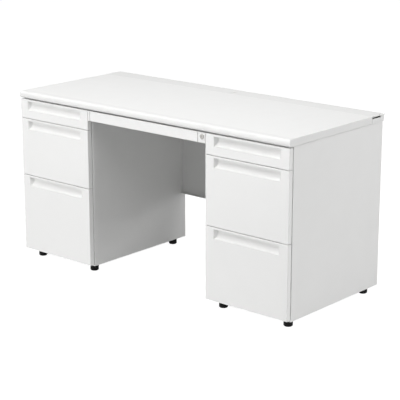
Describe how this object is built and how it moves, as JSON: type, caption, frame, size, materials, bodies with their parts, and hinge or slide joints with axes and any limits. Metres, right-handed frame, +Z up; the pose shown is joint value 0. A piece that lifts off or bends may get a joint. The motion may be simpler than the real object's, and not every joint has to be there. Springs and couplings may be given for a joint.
{
  "type": "pedestal desk",
  "caption": "Steel pedestal desk with a rounded worktop, drawers with recessed pulls, a lockable centre drawer, a lidded cable duct and levelling feet.",
  "frame": {"origin": "on the floor under the middle of the worktop, midway across its width and depth", "axes": "+X to the sitter's right, +Y away from the sitter towards the modesty panel, +Z up"},
  "size_m": [1.4, 0.6, 0.72],
  "materials": {
    "worktop_laminate": "white melamine laminate on particle board, fine matt texture",
    "edge_trim": "white moulded edge, satin",
    "panel_paint": "white powder-coated sheet steel",
    "front_paint": "white baked enamel on sheet steel",
    "box_paint": "pale grey painted sheet steel",
    "pull_plastic": "white moulded ABS, satin",
    "lid_plastic": "white extruded plastic, satin",
    "runner_plastic": "natural nylon runner",
    "zinc_steel": "bright zinc plating",
    "lock_metal": "satin nickel",
    "foot_plastic": "black moulded nylon"
  },
  "bodies": {
    "desk": {"worktop_board": "worktop_laminate", "front_nosing": "edge_trim", "worktop_end_bands": "edge_trim", "cable_trough": "panel_paint", "trough_end_caps": "edge_trim", "left_outer_side_panel": "panel_paint", "left_inner_side_panel": "panel_paint", "left_cabinet_slides": "zinc_steel", "right_outer_side_panel": "panel_paint", "right_inner_side_panel": "panel_paint", "right_cabinet_slides": "zinc_steel", "pedestal_back_panels": "panel_paint", "pedestal_base_pans": "panel_paint", "pedestal_top_rails": "panel_paint", "modesty_panel": "panel_paint", "centre_rail_left": "panel_paint", "centre_rail_right": "panel_paint", "lock_case": "lock_metal"},
    "left_cable_lid": {"cable_lid_left": "lid_plastic"},
    "left_top_drawer": {"left_top_drawer_front": "front_paint", "left_top_pull": "pull_plastic", "left_top_drawer_box": "box_paint", "left_top_drawer_slides": "zinc_steel"},
    "left_middle_drawer": {"left_middle_drawer_front": "front_paint", "left_middle_pull": "pull_plastic", "left_middle_drawer_box": "box_paint", "left_middle_drawer_slides": "zinc_steel"},
    "left_bottom_drawer": {"left_bottom_drawer_front": "front_paint", "left_bottom_pull": "pull_plastic", "left_bottom_drawer_box": "box_paint", "left_bottom_drawer_slides": "zinc_steel"},
    "left_bottom_slide_middle": {"left_bottom_middle_slides": "zinc_steel"},
    "foot_left_front_outer": {"foot_left_front_outer": "foot_plastic"},
    "foot_left_front_inner": {"foot_left_front_inner": "foot_plastic"},
    "foot_left_rear_outer": {"foot_left_rear_outer": "foot_plastic"},
    "foot_left_rear_inner": {"foot_left_rear_inner": "foot_plastic"},
    "right_cable_lid": {"cable_lid_right": "lid_plastic"},
    "right_top_drawer": {"right_top_drawer_front": "front_paint", "right_top_pull": "pull_plastic", "right_top_drawer_box": "box_paint", "right_top_drawer_slides": "zinc_steel"},
    "right_middle_drawer": {"right_middle_drawer_front": "front_paint", "right_middle_pull": "pull_plastic", "right_middle_drawer_box": "box_paint", "right_middle_drawer_slides": "zinc_steel"},
    "right_bottom_drawer": {"right_bottom_drawer_front": "front_paint", "right_bottom_pull": "pull_plastic", "right_bottom_drawer_box": "box_paint", "right_bottom_drawer_slides": "zinc_steel"},
    "right_bottom_slide_middle": {"right_bottom_middle_slides": "zinc_steel"},
    "foot_right_front_outer": {"foot_right_front_outer": "foot_plastic"},
    "foot_right_front_inner": {"foot_right_front_inner": "foot_plastic"},
    "foot_right_rear_outer": {"foot_right_rear_outer": "foot_plastic"},
    "foot_right_rear_inner": {"foot_right_rear_inner": "foot_plastic"},
    "lock_plug": {"lock_plug": "lock_metal"},
    "centre_drawer": {"centre_drawer_front": "front_paint", "centre_drawer_tray": "box_paint", "centre_drawer_runners": "runner_plastic", "lock_keeper": "zinc_steel"}
  },
  "joints": [
    {"name": "left_lid_hinge", "type": "hinge", "parent": "desk", "child": "left_cable_lid", "pos_m": [-0.35, 0.295, 0.7122], "axis": [-1, 0, 0], "range_deg": [0, 90]},
    {"name": "left_top_drawer_slide", "type": "slide", "parent": "desk", "child": "left_top_drawer", "axis": [0, -1, 0], "range_m": [0, 0.33]},
    {"name": "left_middle_drawer_slide", "type": "slide", "parent": "desk", "child": "left_middle_drawer", "axis": [0, -1, 0], "range_m": [0, 0.33]},
    {"name": "left_bottom_drawer_slide", "type": "slide", "parent": "desk", "child": "left_bottom_drawer", "axis": [0, -1, 0], "range_m": [0, 0.45]},
    {"name": "left_bottom_middle_slide", "type": "slide", "parent": "desk", "child": "left_bottom_slide_middle", "axis": [0, -1, 0], "range_m": [0, 0.225]},
    {"name": "foot_left_front_outer_turn", "type": "hinge", "parent": "desk", "child": "foot_left_front_outer", "pos_m": [-0.658, -0.234, 0], "axis": [0, 0, 1], "continuous": true},
    {"name": "foot_left_front_inner_turn", "type": "hinge", "parent": "desk", "child": "foot_left_front_inner", "pos_m": [-0.348, -0.234, 0], "axis": [0, 0, 1], "continuous": true},
    {"name": "foot_left_rear_outer_turn", "type": "hinge", "parent": "desk", "child": "foot_left_rear_outer", "pos_m": [-0.658, 0.252, 0], "axis": [0, 0, 1], "continuous": true},
    {"name": "foot_left_rear_inner_turn", "type": "hinge", "parent": "desk", "child": "foot_left_rear_inner", "pos_m": [-0.348, 0.252, 0], "axis": [0, 0, 1], "continuous": true},
    {"name": "right_lid_hinge", "type": "hinge", "parent": "desk", "child": "right_cable_lid", "pos_m": [0.35, 0.295, 0.7122], "axis": [-1, 0, 0], "range_deg": [0, 90]},
    {"name": "right_top_drawer_slide", "type": "slide", "parent": "desk", "child": "right_top_drawer", "axis": [0, -1, 0], "range_m": [0, 0.33]},
    {"name": "right_middle_drawer_slide", "type": "slide", "parent": "desk", "child": "right_middle_drawer", "axis": [0, -1, 0], "range_m": [0, 0.33]},
    {"name": "right_bottom_drawer_slide", "type": "slide", "parent": "desk", "child": "right_bottom_drawer", "axis": [0, -1, 0], "range_m": [0, 0.45]},
    {"name": "right_bottom_middle_slide", "type": "slide", "parent": "desk", "child": "right_bottom_slide_middle", "axis": [0, -1, 0], "range_m": [0, 0.225]},
    {"name": "foot_right_front_outer_turn", "type": "hinge", "parent": "desk", "child": "foot_right_front_outer", "pos_m": [0.658, -0.234, 0], "axis": [0, 0, 1], "continuous": true},
    {"name": "foot_right_front_inner_turn", "type": "hinge", "parent": "desk", "child": "foot_right_front_inner", "pos_m": [0.348, -0.234, 0], "axis": [0, 0, 1], "continuous": true},
    {"name": "foot_right_rear_outer_turn", "type": "hinge", "parent": "desk", "child": "foot_right_rear_outer", "pos_m": [0.658, 0.252, 0], "axis": [0, 0, 1], "continuous": true},
    {"name": "foot_right_rear_inner_turn", "type": "hinge", "parent": "desk", "child": "foot_right_rear_inner", "pos_m": [0.348, 0.252, 0], "axis": [0, 0, 1], "continuous": true},
    {"name": "lock_turn", "type": "hinge", "parent": "desk", "child": "lock_plug", "pos_m": [0.2915, -0.297, 0.671], "axis": [0, 1, 0], "range_deg": [0, 90]},
    {"name": "centre_drawer_slide", "type": "slide", "parent": "desk", "child": "centre_drawer", "axis": [0, -1, 0], "range_m": [0, 0.25]}
  ],
  "couplings": [
    {"joint": "left_bottom_middle_slide", "follows": "left_bottom_drawer_slide", "ratio": 0.5},
    {"joint": "right_bottom_middle_slide", "follows": "right_bottom_drawer_slide", "ratio": 0.5}
  ]
}
